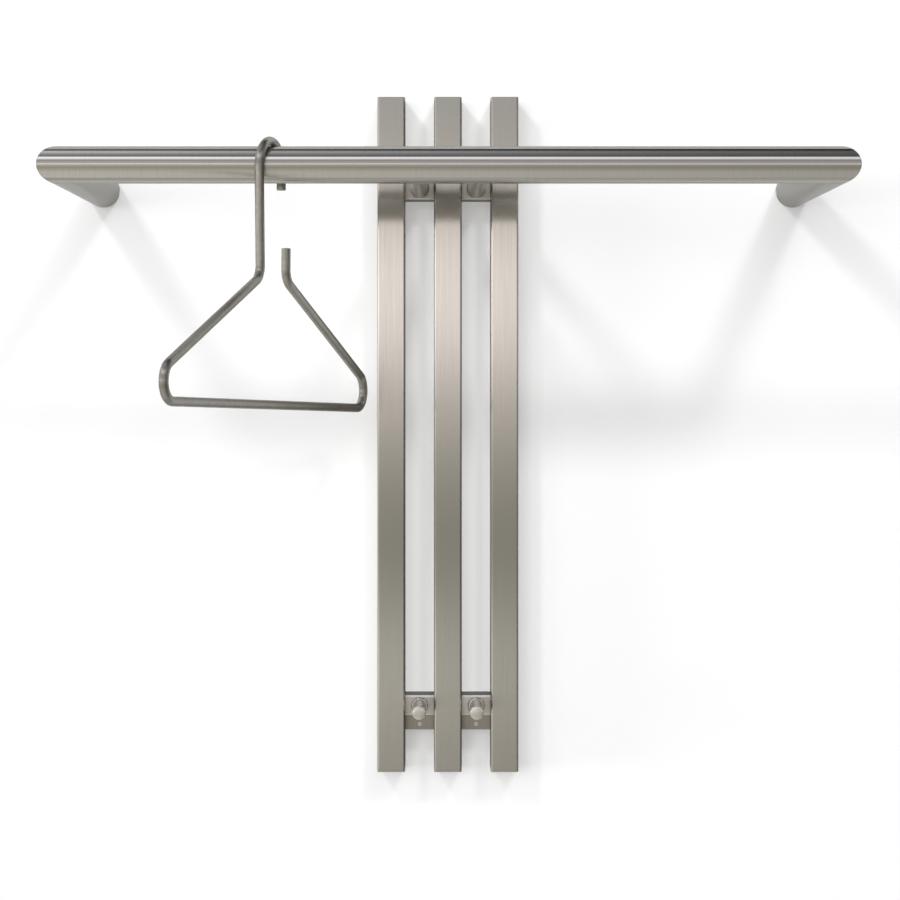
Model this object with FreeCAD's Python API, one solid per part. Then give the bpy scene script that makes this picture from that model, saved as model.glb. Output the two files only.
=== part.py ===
import FreeCAD, Part
import math
import os

# Wall coat rack of brushed stainless steel: three upright bars, a long round rail on two arms,
# two pegs, and a clothes hanger on the rail. It hangs on two bevelled wall strips.
# Millimetres. +X runs to the right along the wall, -Y points out of the wall, +Z is up. The
# origin is on the wall, on the centre line, at the height of the rail's axis.

# ---- driving dimensions: upright bars ----
bar_names = ["left", "middle", "right"]
bar_length = 607.5
bar_width = 25.0
bar_depth = 40.0
bar_wall = 2.0
bar_edge_radius = 2.0
bar_pitch = 51.0
bar_above_rail = 82.0        # from the rail's axis up to the bars' top ends
cap_thickness = 2.0

# ---- driving dimensions: rail, arms and standoffs ----
rail_diameter = 30.0
rail_wall = 2.0
rail_length = 660.0          # overall, over the outer sides of the arms
rail_reach = 285.0           # from the wall to the rail's axis
plug_flange = 1.0
plug_depth = 15.0
plug_clearance = 0.1         # radial, in the arm's bore
standoff_diameter = 17.2
standoff_wall = 2.0
insert_length = 22.0
insert_clearance = 0.05      # radial, in the standoff's bore
weld_gap = 0.05

# ---- driving dimensions: brackets between the bars ----
bracket_depth = 30.0         # front faces of the blocks, from the wall
standoff_block_height = 20.0
hook_block_height = 15.5
peg_block_height = 18.0
lock_block_height = 13.0
standoff_block_chamfer = 1.2
peg_block_chamfer = 1.5
lower_bracket_rise = 37.0    # from the bars' bottom ends up to the lock blocks

# ---- driving dimensions: wall strips ----
strip_thickness = 5.0
strip_end_gap = 1.0          # to the outer bars' outer walls
strip_front_gap = 0.3        # to the blocks in front of it
strip_seat_gap = 0.05        # under the hooks
wall_hole_radius = 2.5
wall_head_radius = 4.5
wall_hole_rise = 5.1         # above the strip's lower edge
notch_clearance = 0.5
lift_clearance = 2.0         # spare travel when the rack is lifted on to its strips

# ---- driving dimensions: pegs and screws ----
peg_diameter = 12.0
peg_reach = 86.0             # front end, from the wall
peg_edge = 0.8
peg_collar_diameter = 15.0
peg_collar_length = 6.0
peg_collar_edge = 0.6
peg_stud_diameter = 6.0
peg_stud_length = 12.0
peg_hole_spare = 2.0
grub_diameter = 4.0
grub_height = 5.0            # above the lock block's lower edge
grub_proud = 0.4
grub_socket = 2.0            # across flats
grub_socket_depth = 2.5
standoff_screw_diameter = 8.0
standoff_screw_length = 40.0
standoff_screw_head = 16.0
standoff_screw_socket = 5.0
standoff_screw_socket_depth = 3.0
head_clearance = 0.2
thread_clearance = 0.05      # radial, in tapped holes

# ---- driving dimensions: clothes hanger ----
rod_diameter = 7.5
hook_inner_radius = 18.0
hook_gap = 0.4               # between the rail's top and the hook
hook_leg = 16.0              # straight end of the hook behind the rail
hanger_x = -143.5            # where it hangs on the rail
hanger_yaw = 69.7            # degrees between its plane and the rail
hanger_tilt = 1.3            # degrees, its back end hangs lower
neck_drop = 91.0             # from the rail's axis down to the shoulders' top corners
neck_width = 50.5
base_drop = 193.0
base_width = 500.8           # between the shoulders' and base's sharp corners
base_offset = 7.5            # from the hook's centre to the shoulders' centre, towards the wall
free_end_rise = 26.0
corner_radius = 15.0
neck_radius = 14.0
rod_end_edge = 0.8

# ---- derived dimensions ----
V = FreeCAD.Vector
bar_xs = [(index - (len(bar_names) - 1) / 2) * bar_pitch for index in range(len(bar_names))]
gap_xs = [(a + b) / 2 for a, b in zip(bar_xs, bar_xs[1:])]
gap_width = bar_pitch - bar_width
sides = ["left", "right"]
bar_top = bar_above_rail
bar_bottom = bar_top - bar_length
inner_half_width = bar_xs[-1] + bar_width / 2 - bar_wall

rail_radius = rail_diameter / 2
rail_bore = rail_radius - rail_wall
arm_x = rail_length / 2 - rail_radius

upper_bottom = -standoff_block_height / 2
upper_seat = standoff_block_height / 2
lower_bottom = bar_bottom + lower_bracket_rise
lower_seat = lower_bottom + lock_block_height
peg_z = lower_seat + peg_block_height / 2
grub_z = lower_bottom + grub_height
strip_levels = {"upper": (upper_bottom, upper_seat), "lower": (lower_bottom, lower_seat)}
block_back = strip_thickness + strip_front_gap

os.makedirs("parts", exist_ok=True)


def save(name, shape):
    """Write one piece, or one set of equal pieces, as its own STEP file."""
    shape.exportStep(f"parts/{name}.step")


def block(x_low, x_high, out_low, out_high, z_low, z_high):
    """Box given by its X range, its distances out from the wall and its Z range."""
    corner = V(x_low, -out_high, z_low)
    return Part.makeBox(x_high - x_low, out_high - out_low, z_high - z_low, corner)


def cylinder(radius, start, end):
    """Solid cylinder from one point to another."""
    return Part.makeCylinder(radius, (end - start).Length, start, end - start)


def outward(radius, x, z, out_low, out_high):
    """Cylinder square to the wall, given by its distances out from the wall."""
    return cylinder(radius, V(x, -out_low, z), V(x, -out_high, z))


def outward_cone(x, z, out_low, radius_low, out_high, radius_high):
    """Cone square to the wall, with its radius at each distance out from the wall."""
    length = out_high - out_low
    return Part.makeCone(radius_low, radius_high, length, V(x, -out_low, z), V(0, -1, 0))


def wall_prism(x_low, x_high, outline):
    """Solid along X whose section is a polygon of (distance from the wall, height) points."""
    points = [V(x_low, -out, z) for out, z in outline]
    face = Part.Face(Part.makePolygon(points + points[:1]))
    return face.extrude(V(x_high - x_low, 0, 0))


def hex_socket(x, z, out_front, across_flats, depth):
    """Hexagonal recess that opens away from the wall, or towards it when depth is negative."""
    radius = across_flats / math.sqrt(3)
    angles = [math.radians(60 * index) for index in range(6)]
    points = [V(x + radius * math.cos(a), -out_front, z + radius * math.sin(a)) for a in angles]
    return Part.Face(Part.makePolygon(points + points[:1])).extrude(V(0, depth, 0))


def edges_at(shape, out, radius):
    """Circular edges of one radius that lie in the plane at one distance from the wall."""
    found = []
    for edge in shape.Edges:
        is_circle = isinstance(edge.Curve, Part.Circle) and abs(edge.Curve.Radius - radius) < 1e-6
        if is_circle and abs(edge.Curve.Center.y + out) < 1e-6:
            found.append(edge)
    return found


# ---- upright bars and their caps ----
def bar_section(x, z_low, z_high):
    """Bar-shaped solid with its long edges rounded."""
    solid = block(x - bar_width / 2, x + bar_width / 2, 0, bar_depth, z_low, z_high)
    upright = [e for e in solid.Edges if abs(e.tangentAt(e.FirstParameter).z) > 0.5]
    return solid.makeFillet(bar_edge_radius, upright)


def strip_notch(bottom, seat):
    """Room in the bars for a wall strip, open to the wall, with travel below it to lift over."""
    lift = strip_thickness + lift_clearance
    return block(-inner_half_width, inner_half_width, 0, block_back, bottom - lift, seat + notch_clearance)


def bar(x):
    """Rectangular tube between its caps, notched at the back where the wall strips pass."""
    z_low = bar_bottom + cap_thickness
    z_high = bar_top - cap_thickness
    half = bar_width / 2 - bar_wall
    hollow = block(x - half, x + half, bar_wall, bar_depth - bar_wall, z_low, z_high)
    notches = [strip_notch(bottom, seat) for bottom, seat in strip_levels.values()]
    return bar_section(x, z_low, z_high).cut([hollow] + notches)


for name, x in zip(bar_names, bar_xs):
    save(f"bar_{name}", bar(x))
    save(f"bar_{name}_top_cap", bar_section(x, bar_top - cap_thickness, bar_top))
    save(f"bar_{name}_bottom_cap", bar_section(x, bar_bottom, bar_bottom + cap_thickness))


# ---- wall strips ----
def wall_strip(bottom, seat):
    """Flat strip with a 45 degree bevel on its top edge, low at the wall, and two screw holes."""
    half = inner_half_width - strip_end_gap
    top = seat - strip_seat_gap
    back_top = top - strip_thickness
    outline = [(0, bottom), (strip_thickness, bottom), (strip_thickness, top), (0, back_top)]
    strip = wall_prism(-half, half, outline)
    hole_z = bottom + wall_hole_rise
    sink = wall_head_radius - wall_hole_radius
    cuts = []
    for x in (bar_xs[0], bar_xs[-1]):
        cuts.append(outward(wall_hole_radius, x, hole_z, 0, strip_thickness))
        cuts.append(outward_cone(x, hole_z, strip_thickness - sink, wall_hole_radius,
                                 strip_thickness, wall_head_radius))
    return strip.cut(cuts)


for level, (bottom, seat) in strip_levels.items():
    save(f"wall_strip_{level}", wall_strip(bottom, seat))


# ---- blocks of the brackets ----
def hook_block(x, seat, height, chamfer):
    """Block that reaches back to the wall and drops a wedge behind the strip's bevel."""
    top = seat + height
    outline = [(0, seat - strip_thickness), (strip_thickness, seat), (bracket_depth - chamfer, seat),
               (bracket_depth, seat + chamfer), (bracket_depth, top - chamfer),
               (bracket_depth - chamfer, top), (0, top)]
    return wall_prism(x - gap_width / 2, x + gap_width / 2, outline)


def standoff_block(x):
    """Lower block of the upper bracket, with a countersunk hole from behind."""
    chamfer = standoff_block_chamfer
    outline = [(block_back, upper_bottom), (bracket_depth - chamfer, upper_bottom),
               (bracket_depth, upper_bottom + chamfer), (bracket_depth, upper_seat - chamfer),
               (bracket_depth - chamfer, upper_seat), (block_back, upper_seat)]
    solid = wall_prism(x - gap_width / 2, x + gap_width / 2, outline)
    shank = standoff_screw_diameter / 2 + head_clearance
    head = standoff_screw_head / 2 + head_clearance
    hole = outward(shank, x, 0, block_back, bracket_depth)
    sink = outward_cone(x, 0, block_back, head, block_back + head - shank, shank)
    return solid.cut([hole, sink])


def peg_block(x):
    """Upper block of the lower bracket, tapped for the peg's stud."""
    depth = peg_stud_length + peg_hole_spare
    hole_radius = peg_stud_diameter / 2 + thread_clearance
    hole = outward(hole_radius, x, peg_z, bracket_depth - depth, bracket_depth)
    return hook_block(x, lower_seat, peg_block_height, peg_block_chamfer).cut(hole)


def lock_block(x):
    """Lower block of the lower bracket, tapped right through for the grub screw."""
    hole = outward(grub_diameter / 2 + thread_clearance, x, grub_z, block_back, bracket_depth)
    return block(x - gap_width / 2, x + gap_width / 2, block_back, bracket_depth, lower_bottom, lower_seat).cut(hole)


for side, x in zip(sides, gap_xs):
    save(f"hook_block_{side}", hook_block(x, upper_seat, hook_block_height, standoff_block_chamfer))
    save(f"standoff_block_{side}", standoff_block(x))
    save(f"peg_block_{side}", peg_block(x))
    save(f"lock_block_{side}", lock_block(x))


# ---- pegs and grub screws ----
def peg(x):
    """Round peg turned in one piece with its collar and threaded stud."""
    radius = peg_diameter / 2
    collar_radius = peg_collar_diameter / 2
    collar_end = bracket_depth + peg_collar_length
    shank = outward(radius, x, peg_z, bracket_depth, peg_reach)
    shank = shank.makeFillet(peg_edge, edges_at(shank, peg_reach, radius))
    collar = outward(collar_radius, x, peg_z, bracket_depth, collar_end)
    collar = collar.makeChamfer(peg_collar_edge, edges_at(collar, collar_end, collar_radius))
    stud = outward(peg_stud_diameter / 2, x, peg_z, bracket_depth - peg_stud_length, bracket_depth)
    return shank.fuse([collar, stud]).removeSplitter()


def grub_screw(x):
    """Grub screw from the wall strip's face to just proud of the lock block."""
    back = strip_thickness + strip_seat_gap
    front = bracket_depth + grub_proud
    body = outward(grub_diameter / 2, x, grub_z, back, front)
    return body.cut(hex_socket(x, grub_z, front, grub_socket, grub_socket_depth))


for side, x in zip(sides, gap_xs):
    save(f"peg_{side}", peg(x))
save("grub_screws", Part.makeCompound([grub_screw(x) for x in gap_xs]))


# ---- rail and arms ----
def rail_tube(start, end):
    """Tube of the rail between two points."""
    return cylinder(rail_radius, start, end).cut(cylinder(rail_bore, start, end))


def plan_prism(corners):
    """Upright prism over a plan of (x, distance from the wall) corners, taller than the rail."""
    points = [V(x, -out, -rail_diameter) for x, out in corners]
    return Part.Face(Part.makePolygon(points + points[:1])).extrude(V(0, 0, 2 * rail_diameter))


# Each mitre plane runs at 45 degrees through the point where the rail's and arm's axes meet.
front_out = rail_reach + rail_diameter
back_out = rail_reach - rail_diameter
outer_x = arm_x + rail_diameter
inner_x = arm_x - rail_diameter

front = rail_tube(V(-outer_x, -rail_reach, 0), V(outer_x, -rail_reach, 0))
front_plan = [(-outer_x, front_out), (outer_x, front_out), (inner_x, back_out), (-inner_x, back_out)]
save("rail_front", front.common(plan_prism(front_plan)))


def rail_arm(direction):
    """Arm from the rail's mitred corner back to its end plug at the wall."""
    x = direction * arm_x
    tube = rail_tube(V(x, -front_out, 0), V(x, -plug_flange, 0))
    corners = [(direction * outer_x, front_out), (direction * inner_x, back_out),
               (direction * inner_x, plug_flange), (direction * outer_x, plug_flange)]
    return tube.common(plan_prism(corners))


def arm_plug(direction):
    """Push-in plug whose flange keeps the arm's end off the wall."""
    x = direction * arm_x
    flange = outward(rail_radius, x, 0, 0, plug_flange)
    core = outward(rail_bore - plug_clearance, x, 0, 0, plug_flange + plug_depth)
    return flange.fuse(core).removeSplitter()


for side, direction in zip(sides, (-1, 1)):
    save(f"rail_arm_{side}", rail_arm(direction))
    save(f"arm_plug_{side}", arm_plug(direction))


# ---- standoffs, their inserts and screws ----
def standoff(x):
    """Tube from the upper bracket to the rail, its front end coped to fit round the rail."""
    outer = outward(standoff_diameter / 2, x, 0, bracket_depth, rail_reach)
    bore = outward(standoff_diameter / 2 - standoff_wall, x, 0, bracket_depth, rail_reach)
    reach = standoff_diameter
    cope = cylinder(rail_radius + weld_gap, V(x - reach, -rail_reach, 0), V(x + reach, -rail_reach, 0))
    return outer.cut([bore, cope])


def standoff_insert(x):
    """Tapped plug welded into the standoff's end."""
    radius = standoff_diameter / 2 - standoff_wall - insert_clearance
    tapped = standoff_screw_diameter / 2 + thread_clearance
    end = bracket_depth + insert_length
    return outward(radius, x, 0, bracket_depth, end).cut(outward(tapped, x, 0, bracket_depth, end))


def standoff_screw(x):
    """Countersunk screw from the back of the standoff block into the insert."""
    head = standoff_screw_head / 2
    shank = standoff_screw_diameter / 2
    sink = outward_cone(x, 0, block_back, head, block_back + head - shank, shank)
    body = outward(shank, x, 0, block_back, block_back + standoff_screw_length).fuse(sink)
    socket = hex_socket(x, 0, block_back, standoff_screw_socket, -standoff_screw_socket_depth)
    return body.cut(socket).removeSplitter()


for side, x in zip(sides, gap_xs):
    save(f"standoff_{side}", standoff(x))
    save(f"standoff_insert_{side}", standoff_insert(x))
save("standoff_screws", Part.makeCompound([standoff_screw(x) for x in gap_xs]))


# ---- clothes hanger ----
def in_hanger_plane(u, v):
    """Point of the hanger: u from the hook's centre line towards the wall, v above the rail's axis."""
    yaw = math.radians(hanger_yaw)
    tilt = math.radians(-hanger_tilt)
    across = u * math.cos(tilt) - v * math.sin(tilt)
    up = u * math.sin(tilt) + v * math.cos(tilt)
    return V(hanger_x + across * math.cos(yaw), -rail_reach + across * math.sin(yaw), up)


def bent_run(points, radii):
    """Edges of a straight-sided line with an arc of the given radius at each inner corner."""
    edges = []
    start = points[0]
    for before, corner, after, radius in zip(points, points[1:], points[2:], radii):
        into = (before - corner).normalize()
        out = (after - corner).normalize()
        half_angle = into.getAngle(out) / 2
        setback = radius / math.tan(half_angle)
        middle = (into + out).normalize() * (radius / math.sin(half_angle) - radius)
        arc = Part.Arc(corner + into * setback, corner + middle, corner + out * setback)
        edges.append(Part.LineSegment(start, corner + into * setback).toShape())
        edges.append(arc.toShape())
        start = corner + out * setback
    edges.append(Part.LineSegment(start, points[-1]).toShape())
    return edges


def is_rod_end(edge, leg_end, free_end):
    """True for the round edge at either end of the rod."""
    centre = edge.CenterOfMass
    return edge.Closed and min((centre - leg_end).Length, (centre - free_end).Length) < rod_end_edge


def hanger():
    """One rod bent into hook, stem, shoulders and base, with a free end beside the stem."""
    rod_radius = rod_diameter / 2
    hook_radius = hook_inner_radius + rod_radius
    hook_v = rail_radius + hook_gap - hook_inner_radius
    leg_end = in_hanger_plane(hook_radius, hook_v - hook_leg)
    leg_top = in_hanger_plane(hook_radius, hook_v)
    crown = in_hanger_plane(0, hook_v + hook_radius)
    stem_top = in_hanger_plane(-hook_radius, hook_v)
    neck_front = in_hanger_plane(base_offset - neck_width / 2, -neck_drop)
    neck_back = in_hanger_plane(base_offset + neck_width / 2, -neck_drop)
    front_corner = in_hanger_plane(base_offset - base_width / 2, -base_drop)
    back_corner = in_hanger_plane(base_offset + base_width / 2, -base_drop)
    free_end = in_hanger_plane(base_offset + neck_width / 2, -neck_drop + free_end_rise)
    edges = [Part.LineSegment(leg_end, leg_top).toShape(), Part.Arc(leg_top, crown, stem_top).toShape()]
    corners = [stem_top, neck_front, front_corner, back_corner, neck_back, free_end]
    edges += bent_run(corners, [neck_radius, corner_radius, corner_radius, neck_radius])
    path = Part.Wire(edges)
    section = Part.Wire(Part.makeCircle(rod_radius, leg_end, leg_top - leg_end))
    rod = path.makePipeShell([section], True, True)
    ends = [e for e in rod.Edges if is_rod_end(e, leg_end, free_end)]
    return rod.makeFillet(rod_end_edge, ends)


save("hanger", hanger())
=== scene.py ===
import math

import bmesh
import bpy
from mathutils import Matrix, Vector
from mathutils.kdtree import KDTree


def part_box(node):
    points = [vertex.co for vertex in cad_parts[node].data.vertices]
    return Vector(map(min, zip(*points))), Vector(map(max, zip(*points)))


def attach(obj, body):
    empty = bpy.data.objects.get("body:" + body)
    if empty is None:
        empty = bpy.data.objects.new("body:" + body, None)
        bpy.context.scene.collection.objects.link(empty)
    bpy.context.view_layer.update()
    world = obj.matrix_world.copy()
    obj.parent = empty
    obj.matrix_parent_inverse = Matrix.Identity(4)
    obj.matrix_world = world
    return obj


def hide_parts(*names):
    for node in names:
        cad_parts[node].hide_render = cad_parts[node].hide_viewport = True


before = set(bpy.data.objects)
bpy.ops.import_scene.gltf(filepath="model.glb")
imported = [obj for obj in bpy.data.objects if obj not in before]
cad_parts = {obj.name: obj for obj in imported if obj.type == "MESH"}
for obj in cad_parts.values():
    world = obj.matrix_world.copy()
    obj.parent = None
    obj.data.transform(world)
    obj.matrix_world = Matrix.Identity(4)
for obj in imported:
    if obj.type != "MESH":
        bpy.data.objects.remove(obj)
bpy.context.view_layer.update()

# ---- Wall strips ----
# Two flat strips of stainless steel are screwed to the wall, and the rack hangs on their
# bevelled top edges. They are sawn from 5 mm rolled strip, drilled and countersunk, and keep
# the mill's dull, even face.
strip_bevel = 0.005
strip_edge = 0.0002
strip_hole_xs = (-0.051, 0.051)
strip_hole_rise = 0.0051
strip_hole_radius = 0.0025
strip_sink_radius = 0.0045
# Every cutter reaches this far past the faces that it cuts through.
overcut = 0.001
# Edges sharper than this stay sharp in the shading.
sharp_angle = math.radians(35)
# The steel's lines are made from noise, which mostly lies between the first two values. They vary
# the roughness by the third to either side, and the last two say how deep they are.
noise_low, noise_high = 0.3, 0.7
roughness_spread = 0.015
line_depth = 0.00001
line_relief = 0.25


def select_only(*pieces):
    """Selects these objects and nothing else, and makes the last of them the active one."""
    bpy.ops.object.select_all(action="DESELECT")
    for piece in pieces:
        piece.select_set(True)
        bpy.context.view_layer.objects.active = piece


def edit(piece):
    """Opens one piece, and nothing else, in edit mode with all of it selected."""
    select_only(piece)
    bpy.ops.object.mode_set(mode="EDIT")
    bpy.ops.mesh.select_all(action="SELECT")


def close():
    """Leaves edit mode with every face pointing outwards."""
    bpy.ops.mesh.select_all(action="SELECT")
    bpy.ops.mesh.normals_make_consistent(inside=False)
    bpy.ops.object.mode_set(mode="OBJECT")


def pick_edges(test):
    """Selects those edges of the open piece whose middle and direction pass the test."""
    bpy.ops.mesh.select_mode(type="EDGE")
    bpy.ops.mesh.select_all(action="DESELECT")
    mesh = bpy.context.object.data
    shape = bmesh.from_edit_mesh(mesh)
    for edge in shape.edges:
        start, end = edge.verts[0].co, edge.verts[1].co
        if test((start + end) / 2, (end - start).normalized()):
            edge.select_set(True)
    shape.select_flush_mode()
    bmesh.update_edit_mesh(mesh)


def near(a, b):
    """True where two lengths in metres are the same within a hundredth of a millimetre."""
    return abs(a - b) < 0.00001


def along(way, axis):
    """True where an edge's direction is near enough along the x, y or z axis."""
    return abs(way["xyz".index(axis)]) > 0.9


def placed(name):
    """Names the new object and moves its place into its mesh."""
    piece = bpy.context.object
    piece.name = piece.data.name = name
    bpy.ops.object.transform_apply(location=True, rotation=True, scale=True)
    return piece


def add_block(name, low, high):
    """Rectangular block between two corners."""
    low, high = Vector(low), Vector(high)
    bpy.ops.mesh.primitive_cube_add(size=1, location=(low + high) / 2, scale=high - low)
    return placed(name)


def turned(name, x, z, steps, corners=64):
    """Part turned about a line square to the wall, from steps of (distance out, radius)."""
    out, radius = steps[0]
    bpy.ops.mesh.primitive_circle_add(vertices=corners, radius=radius, fill_type="NGON",
                                      location=(x, -out, z), rotation=(math.pi / 2, 0, 0))
    part = placed(name)
    edit(part)
    for next_out, next_radius in steps[1:]:
        bpy.ops.mesh.extrude_region_move(TRANSFORM_OT_translate={"value": (0, out - next_out, 0)})
        size = next_radius / radius
        bpy.ops.transform.resize(value=(size, 1, size), center_override=(x, -next_out, z))
        out, radius = next_out, next_radius
    close()
    return part


def change(piece, kind, **settings):
    """Adds one modifier and applies it."""
    modifier = piece.modifiers.new(kind.title(), kind)
    for name, value in settings.items():
        setattr(modifier, name, value)
    bpy.context.view_layer.objects.active = piece
    bpy.ops.object.modifier_apply(modifier=modifier.name)


def cut_away(piece, cutter):
    """Cuts one shape out of a piece and drops the cutter."""
    change(piece, "BOOLEAN", operation="DIFFERENCE", solver="EXACT", object=cutter)
    bpy.data.objects.remove(cutter)


def smooth(piece):
    """Shades rounded edges smoothly and leaves the flats flat."""
    select_only(piece)
    bpy.ops.object.shade_smooth_by_angle(angle=sharp_angle)
    change(piece, "WEIGHTED_NORMAL", keep_sharp=True)


def srgb(code):
    """Linear colour of an sRGB hex value."""
    shares = [int(code[start:start + 2], 16) / 255 for start in (1, 3, 5)]
    return tuple(share / 12.92 if share <= 0.04045 else ((share + 0.055) / 1.055) ** 2.4
                 for share in shares) + (1.0,)


def blank_material(name):
    """New material and its node tree, with nothing in it."""
    material = bpy.data.materials.new(name)
    material.use_nodes = True
    material.node_tree.nodes.clear()
    return material, material.node_tree


def add_node(tree, kind, inputs=None, **settings):
    """Adds a shader node with its settings, and sets or links its inputs."""
    new = tree.nodes.new("ShaderNode" + kind)
    for name, value in settings.items():
        setattr(new, name, value)
    for socket, value in (inputs or {}).items():
        if isinstance(value, bpy.types.NodeSocket):
            tree.links.new(value, new.inputs[socket])
        else:
            new.inputs[socket].default_value = value
    return new


def maths(tree, operation, *values):
    """Socket with the result of one calculation on sockets and numbers."""
    return add_node(tree, "Math", dict(enumerate(values)), operation=operation).outputs[0]


def worked_steel(name, pale, dark, line_mm, roughness, stretch, across, edge=0.45,
                 wave_mm=(90, 90, 90), wave=0.0):
    """Stainless steel with fine lines left by its making.

    pale and dark are its colours, and line_mm is the size of one line along x, y and z. stretch
    says how far the shine spreads to both sides of the lines, in the direction that across gives
    as a socket of the same tree. Seen almost edge-on the lines hide each other, and edge is the
    share of the shine that is left there; set well below what the lines alone would leave, it
    is partly painted shade, darkening rims and edge-on faces as darker surroundings would. The
    face also swells by wave, in metres, over wave_mm.
    """
    steel, tree = blank_material(name)
    place = add_node(tree, "TexCoord").outputs["Object"]
    thin = add_node(tree, "Mapping", {"Vector": place, "Scale": [1000 / mm for mm in line_mm]})
    lines = add_node(tree, "TexNoise", {"Vector": thin.outputs[0], "Scale": 1.0, "Detail": 3.0,
                                        "Roughness": 0.6}).outputs[0]
    wide = add_node(tree, "Mapping", {"Vector": place, "Scale": [1000 / mm for mm in wave_mm]})
    waves = add_node(tree, "TexNoise", {"Vector": wide.outputs[0], "Scale": 1.0,
                                        "Detail": 1.0}).outputs[0]
    tone = add_node(tree, "ValToRGB", {"Fac": lines})
    for element, position, colour in zip(tone.color_ramp.elements, (noise_low, noise_high),
                                         (dark, pale)):
        element.position = position
        element.color = srgb(colour)
    rough = add_node(tree, "MapRange", {"Value": lines, "From Min": noise_low, "From Max": noise_high,
                                        "To Min": roughness + roughness_spread,
                                        "To Max": roughness - roughness_spread})
    swell = add_node(tree, "Bump", {"Height": waves, "Strength": 1.0, "Distance": wave})
    relief = add_node(tree, "Bump", {"Height": lines, "Strength": line_relief, "Distance": line_depth,
                                     "Normal": swell.outputs[0]})
    shader = add_node(tree, "BsdfPrincipled", {"Base Color": tone.outputs[0], "Metallic": 1.0,
                                               "Roughness": rough.outputs[0], "Anisotropic": stretch,
                                               "Specular Tint": (edge, edge, edge, 1.0),
                                               "Normal": relief.outputs[0]})
    if across:
        tree.links.new(across(tree), shader.inputs["Tangent"])
    add_node(tree, "OutputMaterial", {"Surface": shader.outputs[0]})
    return steel


# Rolled stainless steel, pickled at the mill: a dull pale grey with an even, soft shine.
rolled_steel = worked_steel("rolled_stainless_steel", "#B4B2AD", "#A5A39E", (6, 6, 6), 0.42, 0.0, None)

for level in ("upper", "lower"):
    low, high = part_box("wall_strip_" + level)
    strip = add_block("strip_" + level, low, high)
    edit(strip)
    pick_edges(lambda middle, way: near(middle.y, high.y) and near(middle.z, high.z))
    bpy.ops.transform.translate(value=(0, 0, -strip_bevel))
    bpy.ops.mesh.select_all(action="SELECT")
    bpy.ops.mesh.bevel(offset=strip_edge, segments=2, affect="EDGES")
    close()
    hole_z = low.z + strip_hole_rise
    sink_start = -low.y - (strip_sink_radius - strip_hole_radius)
    sink_end = -low.y + overcut
    for x in strip_hole_xs:
        cutter = turned("hole", x, hole_z, [(-overcut, strip_hole_radius),
                                            (sink_start, strip_hole_radius),
                                            (sink_end, strip_sink_radius + overcut)])
        cut_away(strip, cutter)
    smooth(strip)
    strip.data.materials.append(rolled_steel)
    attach(strip, "rack")
    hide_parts("wall_strip_" + level)

# ---- Upright bars ----
# Three bars of rectangular stainless tube, 25 x 40 x 2 mm, belt-ground along their length. The
# back is milled out where the wall strips pass, and the outer walls of the outer bars stay whole.
bar_names = ("left", "middle", "right")
bar_edge_radius = 0.002
bar_wall = 0.002
bar_edge_steps = 5
notch_depth = 0.0053
notch_levels = ((-0.017, 0.0105), (-0.4955, -0.475))
notch_reach = 0.0615
# Lines on a face are drawn this much aslant, so that faces square to them have a way across too.
slant = 0.02


def beside_grain(x, y, z):
    """Maker of the direction across lines that run along one line in space."""
    def link(tree):
        facing = add_node(tree, "NewGeometry").outputs["Normal"]
        return add_node(tree, "VectorMath", {0: facing, 1: (x, y, z)},
                        operation="CROSS_PRODUCT").outputs[0]
    return link


def round_corners(piece):
    """Rounds the four upright edges of a bar or cap."""
    edit(piece)
    pick_edges(lambda middle, way: along(way, "z"))
    bpy.ops.mesh.bevel(offset=bar_edge_radius, segments=bar_edge_steps, affect="EDGES")


# Stainless steel ground with a 240 grit belt: the lines run up and down, so what the bar mirrors
# is smeared sideways and stays fairly sharp in height. The real lines are about 0.1 mm wide and
# are drawn 0.9 mm wide here, so that they show.
bar_steel = worked_steel("ground_stainless_bar", "#B9B5AF", "#B4B0AA", (0.9, 0.9, 60), 0.17, 1.0,
                         beside_grain(0, slant, 1))

for name in bar_names:
    low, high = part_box("bar_" + name)
    bar = add_block("bar_tube_" + name, low, high)
    round_corners(bar)
    close()
    cut_away(bar, add_block("hollow", (low.x + bar_wall, low.y + bar_wall, low.z - overcut),
                            (high.x - bar_wall, high.y - bar_wall, high.z + overcut)))
    for bottom, top in notch_levels:
        side_low = max(low.x - overcut, -notch_reach)
        side_high = min(high.x + overcut, notch_reach)
        cut_away(bar, add_block("notch", (side_low, -notch_depth, bottom), (side_high, overcut, top)))
    smooth(bar)
    bar.data.materials.append(bar_steel)
    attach(bar, "rack")
    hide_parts("bar_" + name)

# ---- End caps of the bars ----
# A 2 mm plate closes each end of a bar. It is welded in, ground flush with the tube's faces and
# its outer edge is broken with a fine file.
cap_edge = 0.0008

# Stainless steel ground by hand on the end, with lines from front to back.
cap_steel = worked_steel("ground_stainless_cap", "#BAB6AF", "#AFABA3", (0.9, 30, 0.9), 0.27, 0.9,
                         beside_grain(0, slant, 1))

for name in bar_names:
    for end in ("top", "bottom"):
        node = f"bar_{name}_{end}_cap"
        low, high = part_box(node)
        cap = add_block("cap_" + name + "_" + end, low, high)
        round_corners(cap)
        outer = high.z if end == "top" else low.z
        pick_edges(lambda middle, way: near(middle.z, outer))
        bpy.ops.mesh.bevel(offset=cap_edge, segments=3, affect="EDGES")
        close()
        smooth(cap)
        cap.data.materials.append(cap_steel)
        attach(cap, "rack")
        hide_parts(node)

# ---- Hook blocks and standoff blocks ----
# The upper bracket: between two bars sit a hook block, whose wedge drops behind the wall strip's
# bevel, and under it the block that carries the standoff. Both are milled from bar and welded in.
sides = ("left", "right")
block_edge = 0.0003
upper_chamfer = 0.0012
wedge_depth = 0.005
screw_hole_radius = 0.0042
screw_head_radius = 0.0082


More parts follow.
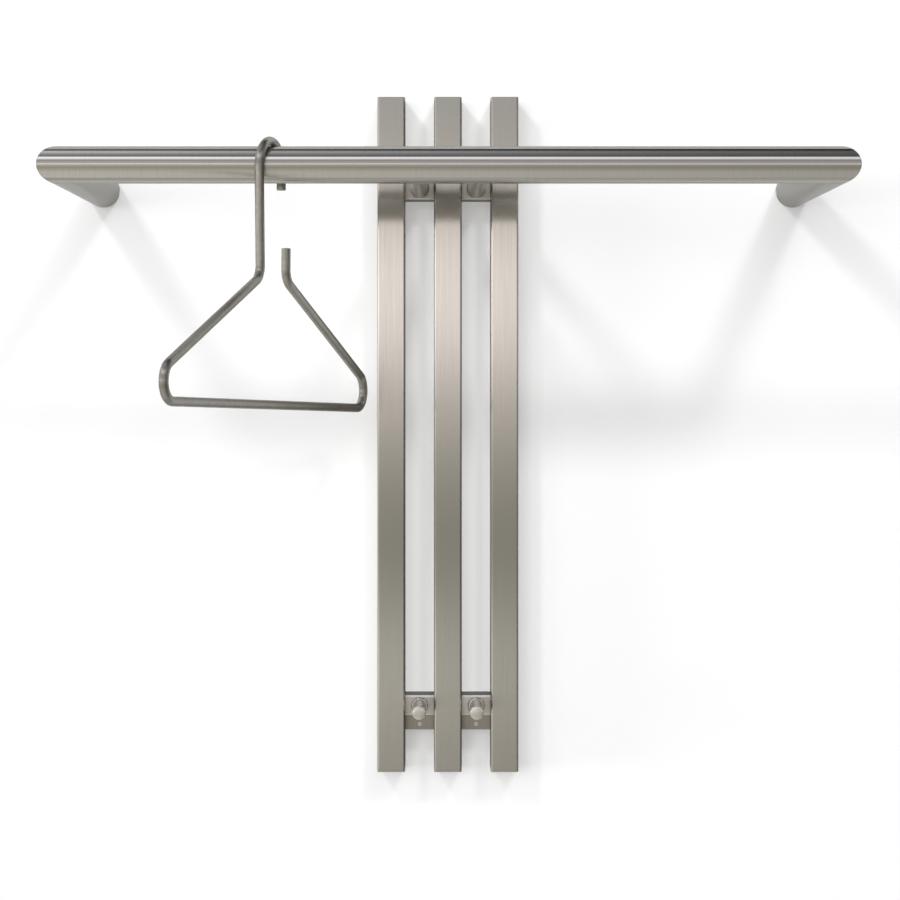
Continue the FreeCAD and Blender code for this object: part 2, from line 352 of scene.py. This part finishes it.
def break_front(low, height, depth):
    """Chamfers the top and bottom of the open block's front, and breaks the front's sharp edges."""
    if height:
        # A bevel is as deep as it is high, so its back edge is then moved to the depth asked for.
        pick_edges(lambda middle, way: near(middle.y, low.y) and along(way, "x"))
        bpy.ops.mesh.bevel(offset=height, segments=1, affect="EDGES")
        pick_edges(lambda middle, way: near(middle.y, low.y + height) and along(way, "x"))
        bpy.ops.transform.translate(value=(0, depth - height, 0))
    pick_edges(lambda middle, way: near(middle.y, low.y))
    bpy.ops.mesh.bevel(offset=block_edge, segments=2, affect="EDGES")
    close()


def add_hook_block(name, low, high, chamfer_height, chamfer_depth):
    """Block with its full section in front and a wedge down its back."""
    bottom = low.z + wedge_depth
    block = add_block(name, (low.x, low.y, bottom), high)
    edit(block)
    bpy.ops.mesh.bisect(plane_co=(0, -wedge_depth, 0), plane_no=(0, 1, 0))
    pick_edges(lambda middle, way: near(middle.y, high.y) and near(middle.z, bottom))
    bpy.ops.transform.translate(value=(0, 0, low.z - bottom))
    break_front(low, chamfer_height, chamfer_depth)
    return block


def add_front_block(name, low, high, chamfer_height, chamfer_depth):
    """Block in front of a wall strip."""
    block = add_block(name, low, high)
    edit(block)
    break_front(low, chamfer_height, chamfer_depth)
    return block


# Stainless steel bar, milled and then rubbed down with a coarse pad: satin, with short lines.
# Its low edge share darkens the blocks' edge-on tops and undersides: painted shade.
block_steel = worked_steel("satin_stainless_block", "#D0CCC5", "#C2BEB6", (0.9, 0.9, 9), 0.36, 0.3,
                           beside_grain(0, slant, 1), edge=0.2)

for side in sides:
    low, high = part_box("hook_block_" + side)
    hook_block = add_hook_block("hook_piece_" + side, low, high, upper_chamfer, upper_chamfer)
    smooth(hook_block)
    hook_block.data.materials.append(block_steel)
    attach(hook_block, "rack")
    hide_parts("hook_block_" + side)

    low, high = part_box("standoff_block_" + side)
    standoff_block = add_front_block("standoff_seat_" + side, low, high, upper_chamfer, upper_chamfer)
    x = (low.x + high.x) / 2
    sink_end = -high.y + screw_head_radius - screw_hole_radius
    cutter = turned("hole", x, 0, [(-high.y - overcut, screw_head_radius + overcut),
                                   (sink_end, screw_hole_radius), (-low.y + overcut, screw_hole_radius)])
    cut_away(standoff_block, cutter)
    smooth(standoff_block)
    standoff_block.data.materials.append(block_steel)
    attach(standoff_block, "rack")
    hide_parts("standoff_block_" + side)

# ---- Peg blocks and lock blocks ----
# The lower bracket: the peg block hooks over the lower wall strip as the hook blocks do, and is
# tapped for the peg. The lock block under it carries the grub screw that locks the rack in place.
peg_chamfer_height = 0.0018
peg_chamfer_depth = 0.00075
# The lock blocks' fronts lie this far behind the peg blocks'.
lock_set_back = 0.0012
peg_hole_radius = 0.00305
peg_hole_depth = 0.014
grub_hole_radius = 0.00205
grub_z = -0.4835

# The lock blocks' steel is a darker grey than the peg blocks': painted shade, standing in for the
# shadow that the pegs and the peg blocks above cast on them.
milled_steel = worked_steel("milled_stainless_block", "#A5A199", "#96928A", (0.9, 0.9, 9), 0.34, 0.8,
                            beside_grain(0, slant, 1))

for side in sides:
    low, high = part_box("peg_block_" + side)
    peg_block = add_hook_block("peg_seat_" + side, low, high, peg_chamfer_height, peg_chamfer_depth)
    x = (low.x + high.x) / 2
    hole_z = (low.z + wedge_depth + high.z) / 2
    cutter = turned("hole", x, hole_z, [(-low.y - peg_hole_depth, peg_hole_radius),
                                        (-low.y + overcut, peg_hole_radius)])
    cut_away(peg_block, cutter)
    smooth(peg_block)
    peg_block.data.materials.append(block_steel)
    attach(peg_block, "rack")
    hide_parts("peg_block_" + side)

    low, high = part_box("lock_block_" + side)
    low.y += lock_set_back
    lock_block = add_front_block("lock_piece_" + side, low, high, 0, 0)
    cutter = turned("hole", x, grub_z, [(-high.y - overcut, grub_hole_radius),
                                        (-low.y + overcut, grub_hole_radius)])
    cut_away(lock_block, cutter)
    smooth(lock_block)
    # Its darker grey is painted shade.
    lock_block.data.materials.append(milled_steel)
    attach(lock_block, "rack")
    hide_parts("lock_block_" + side)

# ---- Pegs ----
# Two round pegs turned from 15 mm bar, with a collar against the block and a threaded stud that
# screws into it. The front end is crowned and rounded over so that a coat's loop slides on.
peg_steps = [(0.018, 0.003), (0.030, 0.003), (0.030, 0.0075), (0.0354, 0.0075), (0.036, 0.0069),
             (0.036, 0.006), (0.0850, 0.006), (0.0853, 0.00588), (0.0855, 0.0056), (0.08565, 0.0051),
             (0.0858, 0.0042), (0.0859, 0.0032), (0.08597, 0.0019), (0.086, 0.0006)]
peg_xs = (-0.0255, 0.0255)
peg_z = -0.4665


def mark_axis(piece, x, z):
    """Writes each point's place from the line the piece was turned about, for its lines."""
    spots = piece.data.attributes.new("from_axis", "FLOAT_VECTOR", "POINT")
    for spot, vertex in zip(spots.data, piece.data.vertices):
        spot.vector = vertex.co - Vector((x, 0, z))


def beside_turning(tree):
    """Direction across the fine rings that a lathe leaves."""
    spot = add_node(tree, "Attribute", attribute_name="from_axis").outputs["Vector"]
    ring = add_node(tree, "VectorMath", {0: (0, 1, 0), 1: spot}, operation="CROSS_PRODUCT").outputs[0]
    facing = add_node(tree, "NewGeometry").outputs["Normal"]
    return add_node(tree, "VectorMath", {0: facing, 1: ring}, operation="CROSS_PRODUCT").outputs[0]


# Stainless steel turned on a lathe: brighter than the ground bars, with fine rings.
turned_steel = worked_steel("turned_stainless_steel", "#DAD6D0", "#CCC8C0", (3, 0.8, 3), 0.27, 0.6,
                            beside_turning, edge=0.8)

peg = turned("peg_pin_left", peg_xs[0], peg_z, peg_steps)
smooth(peg)
mark_axis(peg, peg_xs[0], peg_z)
peg.data.materials.append(turned_steel)
right_peg = peg.copy()
right_peg.data = peg.data.copy()
right_peg.name = right_peg.data.name = "peg_pin_right"
bpy.context.collection.objects.link(right_peg)
for vertex in right_peg.data.vertices:
    vertex.co.x += peg_xs[1] - peg_xs[0]
for side, pin in zip(sides, (peg, right_peg)):
    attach(pin, "rack")
    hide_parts("peg_" + side)

# ---- Grub screws ----
# An M4 grub screw in each lock block is driven against the wall strip with a 2 mm hexagon key, so
# that the rack can't lift off. Only its front end, with the key's socket, shows.
grub_steps = [(0.00505, 0.002), (0.0290, 0.002), (0.0292, 0.0018)]
grub_socket_across = 0.002
grub_socket_depth = 0.0025


def add_socket(x, z, front, across, depth):
    """Hexagonal cutter for a key's socket."""
    bpy.ops.mesh.primitive_cylinder_add(vertices=6, radius=across / math.sqrt(3), depth=2 * depth,
                                        location=(x, -front, z), rotation=(math.pi / 2, 0, 0))
    return placed("socket")


# Stainless steel screw, cold-formed and tumbled: plain grey, soft shine, no lines.
screw_steel = worked_steel("tumbled_stainless_screw", "#DCD9D4", "#CECBC5", (2, 2, 2), 0.33, 0.0, None)

grubs = []
for x in peg_xs:
    grub = turned("grub", x, grub_z, grub_steps, corners=32)
    cut_away(grub, add_socket(x, grub_z, grub_steps[-1][0], grub_socket_across, grub_socket_depth))
    grubs.append(grub)
select_only(grubs[1], grubs[0])
bpy.ops.object.join()
grub_pair = grubs[0]
grub_pair.name = grub_pair.data.name = "grub_pair"
smooth(grub_pair)
grub_pair.data.materials.append(screw_steel)
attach(grub_pair, "rack")
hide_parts("grub_screws")

# ---- Rail and arms ----
# The rail is one 30 x 2 mm stainless tube, mitred at 45 degrees and welded to an arm at each end.
# The welds are ground flush, and the tubes are polished round their girth.
rail_radius = 0.015
tube_wall = 0.002
rail_out = 0.285
arm_x = 0.315
mitre_edge = 0.0004
tube_corners = 96


def add_tube(name, start, end, radius, wall, corners=tube_corners):
    """Round tube between two points on a line along x or y."""
    start, end = Vector(start), Vector(end)
    way = end - start
    bpy.ops.mesh.primitive_cylinder_add(vertices=corners, radius=radius, depth=way.length,
                                        end_fill_type="NOTHING", location=(start + end) / 2,
                                        rotation=way.to_track_quat("Z", "Y").to_euler())
    tube = placed(name)
    change(tube, "SOLIDIFY", thickness=wall, offset=-1)
    return tube


def cut_mitre(tube, direction, keep_front):
    """Cuts a tube with the mitre plane at one corner and breaks the cut's outer edge."""
    corner = Vector((direction * arm_x, -rail_out, 0))
    plane = Vector((direction, 1, 0)).normalized()
    edit(tube)
    bpy.ops.mesh.bisect(plane_co=corner, plane_no=plane, use_fill=True,
                        clear_outer=keep_front, clear_inner=not keep_front)
    outer = rail_radius - tube_wall / 2

    def on_outer_rim(middle, way):
        """True for the edges of the cut that lie on the tube's outside."""
        beside = middle.y + rail_out if keep_front else middle.x - corner.x
        return near((middle - corner).dot(plane), 0) and math.hypot(beside, middle.z) > outer

    pick_edges(on_outer_rim)
    bpy.ops.mesh.bevel(offset=mitre_edge, segments=2, affect="EDGES")
    close()


def along_tube(x, y, z):
    """Maker of the direction across lines that run round a tube, which is along its axis."""
    def link(tree):
        facing = add_node(tree, "NewGeometry").outputs["Normal"]
        ring = add_node(tree, "VectorMath", {0: facing, 1: (x, y, z)},
                        operation="CROSS_PRODUCT").outputs[0]
        return add_node(tree, "VectorMath", {0: facing, 1: ring}, operation="CROSS_PRODUCT").outputs[0]
    return link


# Stainless tube polished round its girth with a fine belt: what it mirrors is smeared along the
# tube into long, clean lines. The tube was straightened after drawing, so the lines waver a little.
rail_steel = worked_steel("polished_stainless_rail", "#BAB6B0", "#B4B0AA", (0.9, 30, 30), 0.16, 1.0,
                          along_tube(1, slant, 0), wave_mm=(120, 25, 25), wave=0.0001)
arm_steel = worked_steel("polished_stainless_arm", "#BAB6B0", "#B4B0AA", (30, 0.9, 30), 0.16, 1.0,
                         along_tube(slant, 1, 0), edge=0.56, wave_mm=(25, 120, 25), wave=0.0001)

reach = arm_x + 2 * rail_radius
rail = add_tube("rail_tube", (-reach, -rail_out, 0), (reach, -rail_out, 0), rail_radius, tube_wall)
for direction in (-1, 1):
    cut_mitre(rail, direction, True)
smooth(rail)
rail.data.materials.append(rail_steel)
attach(rail, "rack")
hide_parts("rail_front")

for side, direction in zip(sides, (-1, 1)):
    low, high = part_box("rail_arm_" + side)
    arm = add_tube("arm_tube_" + side, (direction * arm_x, -rail_out - 2 * rail_radius, 0),
                   (direction * arm_x, high.y, 0), rail_radius, tube_wall)
    cut_mitre(arm, direction, False)
    smooth(arm)
    arm.data.materials.append(arm_steel)
    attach(arm, "rack")
    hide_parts("rail_arm_" + side)

# ---- Plugs in the arms' ends ----
# A moulded plug is pushed into the wall end of each arm. Its thin flange keeps the steel off the
# wall's paint.
plug_steps = [(0, 0.0147), (0.0003, 0.015), (0.0007, 0.015), (0.001, 0.0147), (0.001, 0.0129),
              (0.016, 0.0129)]
plug_grain_depth = 0.00003
polyethylene_ior = 1.51


def moulded_plastic(name, colour, shade, grain_mm, roughness):
    """Moulded plastic with the mould's fine spark-eroded grain."""
    plastic, tree = blank_material(name)
    place = add_node(tree, "TexCoord").outputs["Object"]
    grain = add_node(tree, "TexNoise", {"Vector": place, "Scale": 1000 / grain_mm,
                                        "Detail": 2.0}).outputs[0]
    tone = add_node(tree, "ValToRGB", {"Fac": grain})
    tone.color_ramp.elements[0].color, tone.color_ramp.elements[1].color = srgb(shade), srgb(colour)
    relief = add_node(tree, "Bump", {"Height": grain, "Strength": 0.3, "Distance": plug_grain_depth})
    shader = add_node(tree, "BsdfPrincipled", {"Base Color": tone.outputs[0], "Roughness": roughness,
                                               "IOR": polyethylene_ior, "Normal": relief.outputs[0]})
    add_node(tree, "OutputMaterial", {"Surface": shader.outputs[0]})
    return plastic


# Polyethylene, injection-moulded: dark grey, waxy, with the mould's fine grain.
plug_plastic = moulded_plastic("moulded_polyethylene_plug", "#3A3A3B", "#2E2E2F", 0.6, 0.5)

for side, direction in zip(sides, (-1, 1)):
    plug = turned("plug_" + side, direction * arm_x, 0, plug_steps, corners=tube_corners)
    smooth(plug)
    plug.data.materials.append(plug_plastic)
    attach(plug, "rack")
    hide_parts("arm_plug_" + side)

# ---- Standoffs ----
# Two 17.2 x 2 mm tubes carry the rail's middle. Each is coped to sit on the rail and welded all
# round, and at the back a screw through the standoff block pulls it up by its welded insert.
standoff_xs = (-0.0255, 0.0255)
standoff_radius = 0.0086
standoff_back = 0.030
standoff_corners = 72
cope_width = 0.06
bead_radius = 0.0011

# Stainless tube polished round its girth, as the rail is.
standoff_steel = worked_steel("polished_stainless_standoff", "#BAB6AF", "#AFABA3", (30, 0.9, 30),
                              0.24, 1.0, along_tube(slant, 1, 0))


def add_bead(name, x):
    """Weld bead along the line where a standoff meets the rail."""
    bpy.ops.mesh.primitive_circle_add(vertices=standoff_corners, radius=standoff_radius,
                                      location=(x, -rail_out, 0), rotation=(math.pi / 2, 0, 0))
    bead = placed(name)
    for vertex in bead.data.vertices:
        vertex.co.y = -rail_out + math.sqrt(rail_radius ** 2 - vertex.co.z ** 2)
    bpy.ops.object.convert(target="CURVE")
    bead = bpy.context.object
    bead.data.bevel_depth = bead_radius
    bead.data.bevel_resolution = 3
    bpy.ops.object.convert(target="MESH")
    return bpy.context.object


for side, x in zip(sides, standoff_xs):
    standoff = add_tube("standoff_tube_" + side, (x, -rail_out, 0), (x, -standoff_back, 0),
                        standoff_radius, tube_wall, corners=standoff_corners)
    bpy.ops.mesh.primitive_cylinder_add(vertices=tube_corners, radius=rail_radius, depth=cope_width,
                                        location=(x, -rail_out, 0), rotation=(0, math.pi / 2, 0))
    cut_away(standoff, placed("cope"))
    select_only(add_bead("bead", x), standoff)
    bpy.ops.object.join()
    smooth(standoff)
    standoff.data.materials.append(standoff_steel)
    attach(standoff, "rack")
    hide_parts("standoff_" + side)

# The inserts and the screws are hidden inside the tubes and blocks, and keep the plain solids'
# shape. They are turned and cold-formed steel, and look like the grub screws.
for name in ("standoff_insert_left", "standoff_insert_right", "standoff_screws"):
    for material_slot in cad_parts[name].material_slots:
        material_slot.material = screw_steel

# ---- Clothes hanger ----
# One 7.5 mm stainless rod, 1 m long, bent cold in a single plane into hook, stem, shoulders and
# base. Its free end stands beside the stem. It hangs turned by some 70 degrees from the rail.
rod_radius = 0.00375
hanger_x = -0.1435
hanger_yaw = math.radians(69.7)
hanger_tilt = math.radians(-1.3)
hook_radius = 0.02175
hook_v = -0.0026
hook_leg = 0.016
neck_v = -0.091
neck_us = (-0.01775, 0.03275)
base_v = -0.193
base_us = (-0.2429, 0.2579)
free_end_v = -0.065
neck_bend = 0.014
corner_bend = 0.015
rod_end_edge = 0.0008
rod_corners = 32
bend_step = math.radians(7.5)
fewest_bend_steps = 4


def in_hanger_plane(u, v):
    """Point of the hanger: u from the hook's centre line towards the wall, v above the rail's axis."""
    across = u * math.cos(hanger_tilt) - v * math.sin(hanger_tilt)
    up = u * math.sin(hanger_tilt) + v * math.cos(hanger_tilt)
    return Vector((hanger_x + across * math.cos(hanger_yaw),
                   -rail_out + across * math.sin(hanger_yaw), up))


leg_end = in_hanger_plane(hook_radius, hook_v - hook_leg)
leg_top = in_hanger_plane(hook_radius, hook_v)
hook_centre = in_hanger_plane(0, hook_v)
stem_top = in_hanger_plane(-hook_radius, hook_v)
corners = [in_hanger_plane(neck_us[0], neck_v), in_hanger_plane(base_us[0], base_v),
           in_hanger_plane(base_us[1], base_v), in_hanger_plane(neck_us[1], neck_v)]
free_end = in_hanger_plane(neck_us[1], free_end_v)

bpy.ops.mesh.primitive_circle_add(vertices=rod_corners, radius=rod_radius, fill_type="NGON",
                                  location=leg_end,
                                  rotation=(leg_top - leg_end).to_track_quat("Z", "Y").to_euler())
hanger = placed("hanger_rod")
edit(hanger)
rings = [(leg_end, (leg_top - leg_end).normalized())]


def run_to(point):
    """Draws the rod straight on to a point."""
    start = rings[-1][0]
    bpy.ops.mesh.extrude_region_move(TRANSFORM_OT_translate={"value": point - start})
    rings.append((point, (point - start).normalized()))


def bend(centre, axis, angle):
    """Bends the rod round a centre."""
    steps = max(fewest_bend_steps, math.ceil(angle / bend_step))
    bpy.ops.mesh.spin(steps=steps, angle=-angle, center=centre, axis=axis)
    start, way = rings[-1]
    for step in range(1, steps + 1):
        turn = Matrix.Rotation(angle * step / steps, 3, axis)
        rings.append((centre + turn @ (start - centre), turn @ way))


run_to(leg_top)
bend(hook_centre, (leg_top - hook_centre).cross(leg_top - leg_end).normalized(), math.pi)
for before, corner, after, radius in zip([stem_top] + corners, corners, corners[1:] + [free_end],
                                         (neck_bend, corner_bend, corner_bend, neck_bend)):
    into = (before - corner).normalized()
    out = (after - corner).normalized()
    half_angle = into.angle(out) / 2
    setback = radius / math.tan(half_angle)
    centre = corner + (into + out).normalized() * radius / math.sin(half_angle)
    run_to(corner + into * setback)
    bend(centre, (-into).cross(out).normalized(), math.pi - 2 * half_angle)
run_to(free_end)
for end, way in (rings[0], rings[-1]):
    pick_edges(lambda middle, edge_way: near((middle - end).dot(way), 0)
               and (middle - end).length < 2 * rod_radius)
    bpy.ops.mesh.bevel(offset=rod_end_edge, segments=3, affect="EDGES")
close()
smooth(hanger)

# Each point of the mesh keeps the rod's direction where it lies, for the shine across the rod.
finder = KDTree(len(rings))
for index, (centre, way) in enumerate(rings):
    finder.insert(centre, index)
finder.balance()
ways = hanger.data.attributes.new("rod_way", "FLOAT_VECTOR", "POINT")
for spot, vertex in zip(ways.data, hanger.data.vertices):
    spot.vector = rings[finder.find(vertex.co)[1]][1]


def beside_rod(tree):
    """Direction across the fine lines that run along the bent rod."""
    way = add_node(tree, "Attribute", attribute_name="rod_way").outputs["Vector"]
    facing = add_node(tree, "NewGeometry").outputs["Normal"]
    return add_node(tree, "VectorMath", {0: facing, 1: way}, operation="CROSS_PRODUCT").outputs[0]


# Stainless rod, drawn and then drawn through a fine belt: satin. The lines along it are too fine to
# draw and only spread its shine, and its tone varies a little every few millimetres.
rod_steel = worked_steel("satin_stainless_rod", "#A19E98", "#949189", (4, 4, 4), 0.36, 0.8,
                         beside_rod, edge=0.7)
hanger.data.materials.append(rod_steel)
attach(hanger, "hanger")
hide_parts("hanger")

# ---- The painted wall ----
# The rack hangs on a plain white wall, whose foot the steel mirrors as a shaded one. From behind,
# and to whatever lies within a few millimetres of it, the wall is clear, so that the rack's back
# can be looked at.
wall_size = 6.0
wall_middle = -2.4
wall_gap = 0.0006
wall_clear_within = 0.006
# Where the wall is seen, its shadows are lightened by this share, and more below the rack. One
# gives way to the other between these two heights.
wall_lift = 0.3
low_wall_lift = 0.9
low_wall_heights = (-0.57, -0.525)
# The mirrored foot is darkened by this share below the first height, and not above the second.
wall_foot_shade = 0.35
wall_foot_heights = (-0.7, -0.3)


def shown_rays(tree, path):
    """1 where something is seen, mirrored or seen through glass, and 0 where it only gives light."""
    seen = maths(tree, "MAXIMUM", path.outputs["Is Camera Ray"], path.outputs["Is Glossy Ray"])
    return maths(tree, "MAXIMUM", seen, path.outputs["Is Transmission Ray"])


bpy.ops.mesh.primitive_plane_add(size=wall_size, location=(0, wall_gap, wall_middle),
                                 rotation=(math.pi / 2, 0, 0))
wall = placed("painted_wall")
paint, tree = blank_material("matt_white_wall_paint")
path = add_node(tree, "LightPath")
from_behind = add_node(tree, "NewGeometry").outputs["Backfacing"]
close_by = maths(tree, "LESS_THAN", path.outputs["Ray Length"], wall_clear_within)
not_seen = maths(tree, "SUBTRACT", 1.0, path.outputs["Is Camera Ray"])
clear = maths(tree, "MAXIMUM", maths(tree, "MULTIPLY", close_by, not_seen), from_behind)
lit = add_node(tree, "BsdfDiffuse", {"Color": srgb("#FBFBFB")}).outputs[0]
plain = add_node(tree, "Emission", {"Color": (1, 1, 1, 1), "Strength": 1.0}).outputs[0]
wall_z = add_node(tree, "SeparateXYZ", {0: add_node(tree, "TexCoord").outputs["Object"]}).outputs["Z"]
lift_here = add_node(tree, "MapRange", {"Value": wall_z, "From Min": low_wall_heights[0],
                                        "From Max": low_wall_heights[1], "To Min": low_wall_lift,
                                        "To Max": wall_lift}).outputs[0]
lift = maths(tree, "MULTIPLY", shown_rays(tree, path), lift_here)
lightened = add_node(tree, "MixShader", {0: lift, 1: lit, 2: plain}).outputs[0]
foot_here = add_node(tree, "MapRange", {"Value": wall_z, "From Min": wall_foot_heights[0],
                                        "From Max": wall_foot_heights[1], "To Min": wall_foot_shade,
                                        "To Max": 0.0}).outputs[0]
foot = maths(tree, "MULTIPLY", foot_here, path.outputs["Is Glossy Ray"])
dark = add_node(tree, "Emission", {"Color": (0, 0, 0, 1)}).outputs[0]
shaded = add_node(tree, "MixShader", {0: foot, 1: lightened, 2: dark}).outputs[0]
nothing = add_node(tree, "BsdfTransparent").outputs[0]
painted = add_node(tree, "MixShader", {0: clear, 1: shaded, 2: nothing}).outputs[0]
add_node(tree, "OutputMaterial", {"Surface": painted})
wall.data.materials.append(paint)

# ---- The studio ----
# A large shell of pale cloth stands round the rack. The steel mirrors it, it lights nothing else,
# and the camera looks through it. It is lit in bands: a bright one at eye level, a brighter one
# some 38 degrees up, and dimmer ones between and above them.
shell_radius = 14.0
shell_segments, shell_rings = 64, 32
# Each band is its height in degrees above eye level, its tint and its brightness.
shell_bands = [(-90, "#E6E7DD", 0.802), (-65, "#E7E5E0", 0.795), (-45, "#E7E5DE", 0.775),
               (-30, "#E7E3DA", 0.602), (-18, "#E7E5DC", 0.479), (-10, "#E7E5DE", 0.588),
               (-8.4, "#E7E7DF", 0.79), (-7.2, "#E6E7DE", 0.72), (-6, "#E7E7DD", 0.49),
               (-5, "#E7E6D8", 0.377), (-3.6, "#E7E6DD", 0.478), (-2.4, "#E7E5DC", 0.649),
               (-1.4, "#E7E4DE", 0.837), (-0.5, "#E7E1DF", 1.151), (0.4, "#E7E2E2", 1.578),
               (1.3, "#E7E3E2", 1.63), (2.3, "#E7E3E2", 1.718), (3.2, "#E7E2DE", 1.39),
               (4.2, "#E7E2D8", 0.919), (5.4, "#E4E7E5", 0.725), (6.4, "#E6E7E7", 0.689),
               (11, "#E3E7E7", 0.74), (18, "#E2E0E7", 0.624), (25, "#E6E7E7", 0.472),
               (33, "#DCDFE7", 1.415), (37.5, "#DFE2E7", 1.913), (41, "#DEE1E7", 1.902),
               (45, "#DCDFE7", 0.633), (51, "#E1DBE7", 0.173), (62, "#DBE4E7", 0.293),
               (76, "#DBDFE7", 0.43), (90, "#DAE0E7", 0.493)]
# At each height in degrees, the left is brighter and the right darker by this power of e. The
# change from one to the other takes this share of the radius to either side.
shell_fade = [(-90, 0.25), (-12, 0.25), (-7, 0.4), (-4, 0.2), (2, 0.25), (20, 0.15), (40, 0.2),
              (50, 0.8), (62, 1.0), (76, 1.5), (90, 1.3)]
fade_reach = 0.25
# Brightness from left, -1, to right, 1: a dark screen far to the right gives each round rod a dark
# right edge.
shell_flanks = [(-1, 1.25), (-0.6, 1.1), (-0.3, 1.0), (0.3, 1.0), (0.68, 0.9), (0.8, 0.1),
                (0.92, 0.08), (1, 0.4)]
# Brightness from front, -1, to back, 1: a dark beam runs overhead, just behind the wall's line.
shell_beam = [(-1, 1.0), (-0.02, 1.0), (0.05, 0.3), (0.3, 0.3), (0.45, 1.0), (1, 1.0)]


def levels(tree, value, low, high, stops):
    """Colour that runs through the stops, (value, colour), as a value goes from low to high."""
    share = add_node(tree, "MapRange", {"Value": value, "From Min": low, "From Max": high}).outputs[0]
    ramp = add_node(tree, "ValToRGB", {"Fac": share})
    elements = ramp.color_ramp.elements
    while len(elements) < len(stops):
        elements.new(1.0)
    for element, (stop, colour) in zip(elements, stops):
        element.position = (stop - low) / (high - low)
        element.color = colour
    return ramp.outputs[0]


def grey(stops):
    """Stops whose colours are plain levels."""
    return [(stop, (level, level, level, 1.0)) for stop, level in stops]


def tinted(stops):
    """Stops whose colours are tints, each as bright as its level."""
    coloured = []
    for stop, tint, level in stops:
        colour = srgb(tint)[:3]
        coloured.append((stop, [share / max(colour) * level for share in colour] + [1.0]))
    return coloured


bpy.ops.mesh.primitive_uv_sphere_add(segments=shell_segments, ring_count=shell_rings,
                                     radius=shell_radius)
shell = placed("studio_shell")
cloth, tree = blank_material("studio_cloth_lit_in_bands")
outwards = add_node(tree, "VectorMath", {0: add_node(tree, "TexCoord").outputs["Object"]},
                    operation="NORMALIZE").outputs[0]
axes = add_node(tree, "SeparateXYZ", {0: outwards}).outputs
degrees = maths(tree, "DEGREES", maths(tree, "ARCSINE", axes["Z"]))
bands = levels(tree, degrees, -90, 90, tinted(shell_bands))
fade = levels(tree, degrees, -90, 90, grey(shell_fade))
sideways = add_node(tree, "MapRange", {"Value": axes["X"], "From Min": -fade_reach,
                                       "From Max": fade_reach, "To Min": 1.0, "To Max": -1.0}).outputs[0]
strength = maths(tree, "EXPONENT", maths(tree, "MULTIPLY", sideways, fade))
for axis, stops in (("X", shell_flanks), ("Y", shell_beam)):
    strength = maths(tree, "MULTIPLY", strength, levels(tree, axes[axis], -1, 1, grey(stops)))
glow = add_node(tree, "Emission", {"Color": bands, "Strength": strength}).outputs[0]
add_node(tree, "OutputMaterial", {"Surface": glow})
shell.data.materials.append(cloth)
shell.visible_camera = False
shell.visible_diffuse = False

# Two small lamps, high on either side, throw the rack's crossed shadows on the wall, and six wide
# ones soften them: where each stands, how wide it is and its watts. The steel doesn't mirror them.
lamps = {"key_left": ((-1.47, -2.76, 1.82), 0.5, 38), "key_right": ((1.56, -4.37, 3.0), 0.7, 58),
         "high_right": ((1.5, -7.4, 4.8), 2.2, 85), "outer_right": ((2.7, -6.9, 5.1), 1.6, 35),
         "wide_front": ((-0.9, -8.9, 1.3), 5.0, 285), "front": ((-2.6, -8.6, 0.9), 2.0, 55),
         "left": ((-6.2, -6.5, 0.7), 2.2, 65), "far_left": ((-8.7, -2.2, -0.7), 2.6, 320)}
lamp_aim = Vector((0, 0, -0.15))
for lamp_name, (lamp_place, size, watts) in lamps.items():
    bpy.ops.object.light_add(type="AREA", location=lamp_place)
    lamp = bpy.context.object
    lamp.name = "soft_lamp_" + lamp_name
    lamp.rotation_euler = (Vector(lamp_place) - lamp_aim).to_track_quat("Z", "Y").to_euler()
    lamp.data.shape = "DISK"
    lamp.data.size = size
    lamp.data.energy = watts
    lamp.visible_camera = False
    lamp.visible_glossy = False

# The surroundings are white where they are seen or mirrored, and give only a little light.
surround_light = 0.13
world = bpy.data.worlds.new("white_surround")
bpy.context.scene.world = world
world.use_nodes = True
world.cycles.sampling_method = "NONE"
tree = world.node_tree
tree.nodes.clear()
shown = shown_rays(tree, add_node(tree, "LightPath"))
level = add_node(tree, "MapRange", {"Value": shown, "To Min": surround_light, "To Max": 1.0}).outputs[0]
sky = add_node(tree, "Background", {"Color": (1, 1, 1, 1), "Strength": level}).outputs[0]
add_node(tree, "OutputWorld", {"Surface": sky})
bpy.context.scene.view_settings.view_transform = "Standard"

# The camera looks squarely at the wall from 2.37 m, some 0.17 m below the rail's axis.
bpy.ops.object.camera_add(location=(-0.007, -2.369, -0.1749), rotation=(math.pi / 2, 0, 0))
camera = bpy.context.object
camera.data.lens = 103.6
camera.data.sensor_width = 36
camera.data.shift_x = 0.011
camera.data.shift_y = -0.0752
bpy.context.scene.camera = camera
